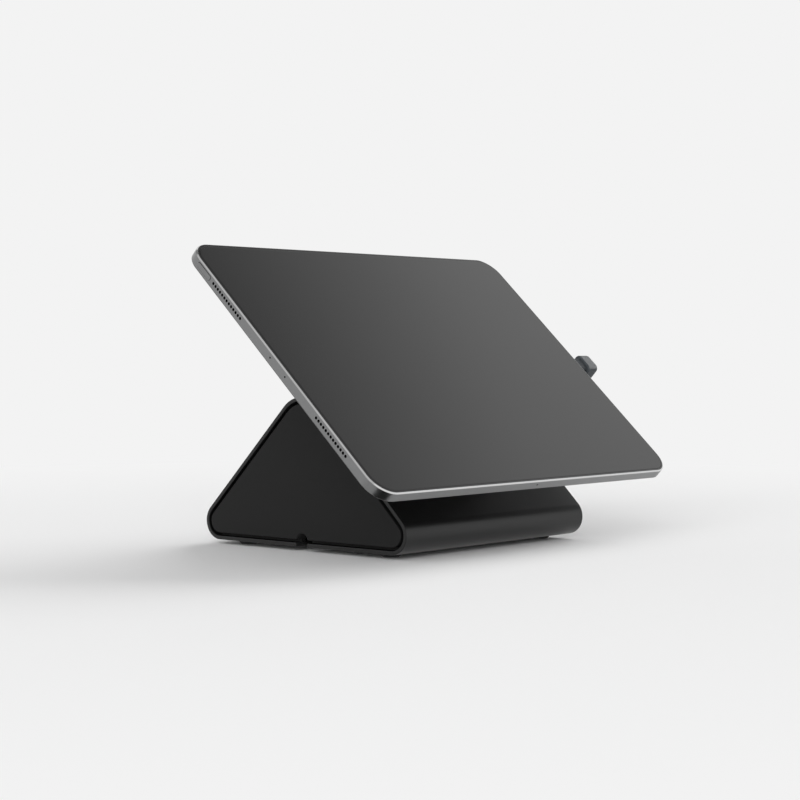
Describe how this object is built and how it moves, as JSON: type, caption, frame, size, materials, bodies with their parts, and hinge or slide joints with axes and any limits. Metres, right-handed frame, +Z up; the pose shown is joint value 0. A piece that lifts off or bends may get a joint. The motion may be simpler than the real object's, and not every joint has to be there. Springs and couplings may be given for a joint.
{
  "type": "tablet security kiosk stand",
  "caption": "Tablet kiosk stand: a triangular extruded base on rubber feet, with a friction flip hinge that carries a bonded landscape tablet and a sliding locked power plug.",
  "frame": {"origin": "on the table plane, under the middle of the base's length and depth", "axes": "+X to the right along the base and the tablet's long edge, +Y to the rear, +Z up"},
  "size_m": [0.2657, 0.1683, 0.1584],
  "materials": {
    "satin_black_shell": "satin black anodised extrusion",
    "matte_black_cover": "fine matte moulded texture",
    "black_rubber": "matte",
    "ballast_steel": "mill finish",
    "black_screws": "black oxide",
    "bright_steel": "turned or zinc plated",
    "module_plastic": "moulded, light texture",
    "black_casting": "satin black coated casting",
    "washer_brass": "lapped",
    "black_plate": "satin black powder coat",
    "adhesive_foam": "closed cell foam tape",
    "grey_aluminium": "fine bead blasted, anodised grey",
    "block_aluminium": "bead blasted, anodised dark grey",
    "black_glass": "polished, dark display behind it",
    "panel_plastic": "dark display stack",
    "cell_wrap": "foil pouch",
    "board_laminate": "solder mask",
    "speaker_plastic": "moulded",
    "plug_plastic": "moulded"
  },
  "bodies": {
    "base": {"body_shell": "satin_black_shell", "left_end_cover": "matte_black_cover", "right_end_cover": "matte_black_cover", "cover_screws": "black_screws", "rubber_feet": "black_rubber", "ballast_plate": "ballast_steel", "ballast_screws": "black_screws", "power_module": "module_plastic", "module_screws": "bright_steel", "cable_clamp": "matte_black_cover", "clamp_screws": "bright_steel", "cable_grommet": "black_rubber", "hinge_saddle": "black_casting", "saddle_screws": "black_screws", "stop_pads": "black_rubber", "friction_washers": "washer_brass", "hinge_shaft": "bright_steel", "disc_springs": "bright_steel", "hinge_nut": "bright_steel"},
    "head": {"hinge_knuckle": "black_casting", "knuckle_screws": "black_screws", "mount_plate": "black_plate", "adhesive_pad": "adhesive_foam", "arm_guide": "black_plate", "guide_screws": "black_screws", "arm_lock_screw": "bright_steel", "tablet_housing": "grey_aluminium", "cover_glass": "black_glass", "display_panel": "panel_plastic", "battery_cells": "cell_wrap", "logic_board": "board_laminate", "speaker_modules": "speaker_plastic", "charge_port": "bright_steel", "button_switches": "bright_steel", "camera_ring": "grey_aluminium", "camera_lens": "black_glass"},
    "connector": {"connector_arm": "black_plate", "plug_block": "block_aluminium", "block_screw": "black_screws", "plug_body": "plug_plastic", "plug_shell": "bright_steel"},
    "top_button": {"top_button": "grey_aluminium"},
    "volume_up_button": {"volume_up_button": "grey_aluminium"},
    "volume_down_button": {"volume_down_button": "grey_aluminium"}
  },
  "joints": [
    {"name": "flip", "type": "hinge", "parent": "base", "child": "head", "pos_m": [0, 0, 0.09273], "axis": [-1, 0, 0], "range_deg": [0, 86]},
    {"name": "connector_slide", "type": "slide", "parent": "head", "child": "connector", "axis": [1, 0, 0], "range_m": [0, 0.012]},
    {"name": "top_button_press", "type": "slide", "parent": "head", "child": "top_button", "axis": [1, 0, 0], "range_m": [0, 0.0003], "stiffness_N_per_m": 1500},
    {"name": "volume_up_press", "type": "slide", "parent": "head", "child": "volume_up_button", "axis": [0, -0.7314, -0.682], "range_m": [0, 0.0003], "stiffness_N_per_m": 1500},
    {"name": "volume_down_press", "type": "slide", "parent": "head", "child": "volume_down_button", "axis": [0, -0.7314, -0.682], "range_m": [0, 0.0003], "stiffness_N_per_m": 1500}
  ]
}
